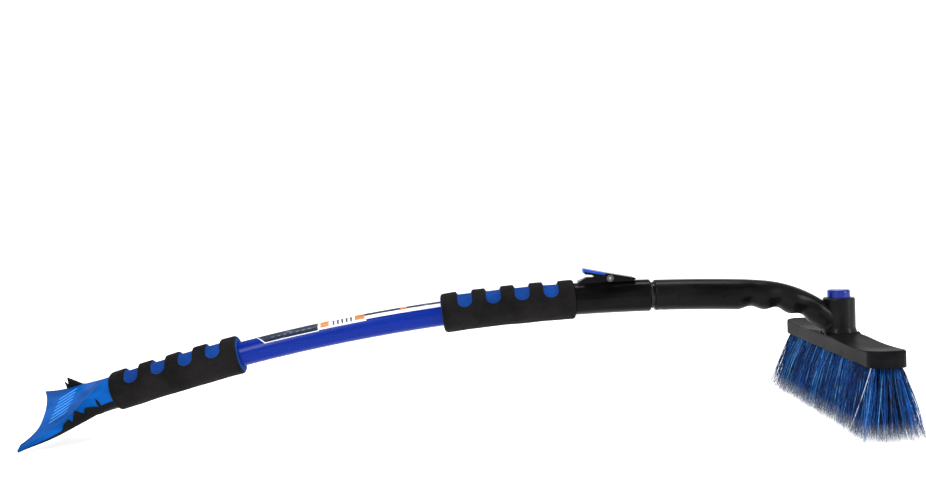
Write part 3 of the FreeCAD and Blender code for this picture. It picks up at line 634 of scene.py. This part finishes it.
def strand(rng, root, tuft_tone, lean):
    """Centre line, thickness and colours of one filament from the board to its trimmed end."""
    fx, fy = root[0] / ROOT_HALF[0], root[1] / ROOT_HALF[1]
    tip = Vector((
        SWIVEL_X + TIP_LEAN + fx * TIP_HALF[0] + rng.gauss(0, 0.0030) + lean[0],
        fy * TIP_HALF[1] + rng.gauss(0, 0.0034) + lean[1],
        0.0006 + abs(rng.gauss(0, 0.0022)),
    ))
    off = tip.x - SWIVEL_X - TIP_LEAN
    tip.x = SWIVEL_X + TIP_LEAN + min(max(off, -TIP_LIMIT[0]), TIP_LIMIT[0])
    tip.y = min(max(tip.y, -TIP_LIMIT[1]), TIP_LIMIT[1])
    start = Vector((SWIVEL_X + root[0], root[1], ROOT_Z))
    bow = Vector((rng.gauss(0, 0.0022), rng.gauss(0, 0.0026), 0))
    crimp, phase = rng.uniform(0.0001, 0.00045), rng.uniform(0, 6.28)
    tone = pick_tone(rng) if rng.random() < 0.72 else tuft_tone
    gain = rng.uniform(0.55, 1.45)
    tone = Vector([c * gain for c in tone])
    end_tone = PALE_TIP if rng.random() < 0.75 else DARK_TIP
    frayed = rng.uniform(0.76, 0.90)
    line = []
    for t in STRAND_STATIONS:
        p = start.lerp(tip, t) + bow * math.sin(math.pi * t) * 0.7
        p.x += crimp * math.sin(11 * t + phase)
        p.y += crimp * math.cos(13 * t + phase)
        fade = smooth(frayed - 0.02, frayed + 0.08, t) * 0.85
        radius = STRAND_R * (1 - 0.62 * smooth(0.55, 1.0, t))
        line.append((p, radius, tone.lerp(end_tone, fade), t))
    return line


def bristle_mesh():
    """All the filaments as one mesh of thin three-sided rods, with one pale stray at the end."""
    rng = random.Random(11)
    points, faces, colours, tips = [], [], [], []

    def lay(line):
        base = len(points)
        turn = rng.uniform(0, 2.09)
        for p, r, colour, t in line:
            for k in range(SIDES):
                a = turn + SIDE_TURN * k
                points.append((p.x + r * math.cos(a), p.y + r * math.sin(a), p.z))
                colours.extend((*colour, 1.0))
                tips.append(t)
        for i in range(len(line) - 1):
            for k in range(SIDES):
                a, b = base + SIDES * i + k, base + SIDES * i + (k + 1) % SIDES
                faces.append((a, b, b + SIDES, a + SIDES))
        last = base + SIDES * (len(line) - 1)
        faces.append((last, last + 1, last + 2))

    for x, y in tuft_places():
        tuft_tone = pick_tone(rng)
        lean = (rng.gauss(0, 0.0016), rng.gauss(0, 0.0030))
        for _ in range(STRANDS):
            r, a = TUFT_R * math.sqrt(rng.random()), rng.uniform(0, 2 * math.pi)
            lay(strand(rng, (x + r * math.cos(a), y + r * math.sin(a)), tuft_tone, lean))
    stray = []
    for t in (0, 0.25, 0.5, 0.75, 1):
        place = Vector((SWIVEL_X - 0.0135 - 0.0200 * t, -0.126 + 0.010 * t * t,
                        ROOT_Z * (1 - 0.97 * t)))
        stray.append((place, 0.00050 * (1 - 0.4 * t), STRAY_TONE, 0.5 * t))
    lay(stray)
    obj = add_object("filaments", points, faces, [filaments], "head")
    layer = obj.data.attributes.new("fibre", "FLOAT_COLOR", "POINT")
    layer.data.foreach_set("color", colours)
    point_values(obj, "tip", tips)
    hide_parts("bristles")


bristle_mesh()


# --- floor, light and camera -------------------------------------------------------------------
FLOOR_EDGE = 40.0
FLOOR_DROP = 0.0002
HORIZON_LIGHT, OVERHEAD_LIGHT = 1.02, 0.30
SENSOR_MM = 36.0
FOCAL_PX, PICTURE_PX = 1044.6, 926
CAMERA_PLACE = (0.050073, -1.1, 0.237619)
CAMERA_TURNS = (2.801, -1.119, -2.555)


def floor():
    """A pale painted floor, slightly self-lit so that it stays white."""
    n = Nodes("floor_paint")
    patches = n.span(n.noise(3, 4), 0.3, 0.7, 0.0, 1.0)
    n.put("Base Color", n.mix(patches, (0.86, 0.86, 0.86), (0.89, 0.89, 0.89)))
    n.put("Roughness", 0.75)
    n.put("Emission Color", (1.0, 1.0, 1.0, 1.0))
    n.put("Emission Strength", 0.60)
    mesh = bpy.data.meshes.new("floor")
    corners = [(x * FLOOR_EDGE, y * FLOOR_EDGE, 0) for x, y in ((-1, -1), (1, -1), (1, 1), (-1, 1))]
    mesh.from_pydata(corners, [], [(0, 1, 2, 3)])
    mesh.materials.append(n.material)
    obj = bpy.data.objects.new("floor", mesh)
    bpy.context.scene.collection.objects.link(obj)
    obj.location.z = cad_box[0][2] - FLOOR_DROP


def area_light(name, at, towards, size, size_y, power):
    data = bpy.data.lights.new(name, "AREA")
    data.energy = power
    data.shape = "RECTANGLE"
    data.size = size
    data.size_y = size_y
    obj = bpy.data.objects.new(name, data)
    obj.location = at
    obj.rotation_euler = (Vector(towards) - Vector(at)).to_track_quat("-Z", "Y").to_euler()
    bpy.context.scene.collection.objects.link(obj)


def lights():
    """A white world that dims overhead, and three soft lights."""
    world = bpy.context.scene.world or bpy.data.worlds.new("world")
    bpy.context.scene.world = world
    world.use_nodes = True
    tree = world.node_tree
    back = tree.nodes["Background"]
    place = tree.nodes.new("ShaderNodeTexCoord")
    axes = tree.nodes.new("ShaderNodeSeparateXYZ")
    tree.links.new(place.outputs["Generated"], axes.inputs[0])
    fall = tree.nodes.new("ShaderNodeMapRange")
    fall.interpolation_type = "SMOOTHSTEP"
    for name, value in (("From Min", 0.30), ("From Max", 0.80),
                        ("To Min", HORIZON_LIGHT), ("To Max", OVERHEAD_LIGHT)):
        fall.inputs[name].default_value = value
    tree.links.new(axes.outputs[2], fall.inputs["Value"])
    tree.links.new(fall.outputs[0], back.inputs["Strength"])
    back.inputs["Color"].default_value = (1.0, 1.0, 1.0, 1.0)
    area_light("overhead", (0.0, 0.35, 1.6), (0.0, 0.0, 0.0), 1.6, 0.5, 22)
    area_light("left_strip", (-0.7, -1.1, 1.0), (0.1, 0.0, 0.1), 0.25, 1.0, 16)
    area_light("right_strip", (1.5, -0.7, 0.5), (0.4, 0.0, 0.1), 0.22, 1.0, 14)


def camera():
    """Level view along +Y from 1.1 m, turned by small angles about its own place."""
    pitch, yaw, roll = (math.radians(a) for a in CAMERA_TURNS)
    turn = (Matrix.Rotation(roll, 4, "Y") @ Matrix.Rotation(pitch, 4, "X")
            @ Matrix.Rotation(yaw, 4, "Z"))
    data = bpy.data.cameras.new("camera")
    data.sensor_width = SENSOR_MM
    data.lens = FOCAL_PX / PICTURE_PX * SENSOR_MM
    data.clip_end = 60.0
    obj = bpy.data.objects.new("camera", data)
    look = turn.inverted() @ Matrix.Rotation(math.pi / 2, 4, "X")
    obj.matrix_world = Matrix.Translation(CAMERA_PLACE) @ look
    bpy.context.scene.collection.objects.link(obj)
    bpy.context.scene.camera = obj


floor()
lights()
camera()
bpy.context.scene.view_settings.view_transform = "Standard"
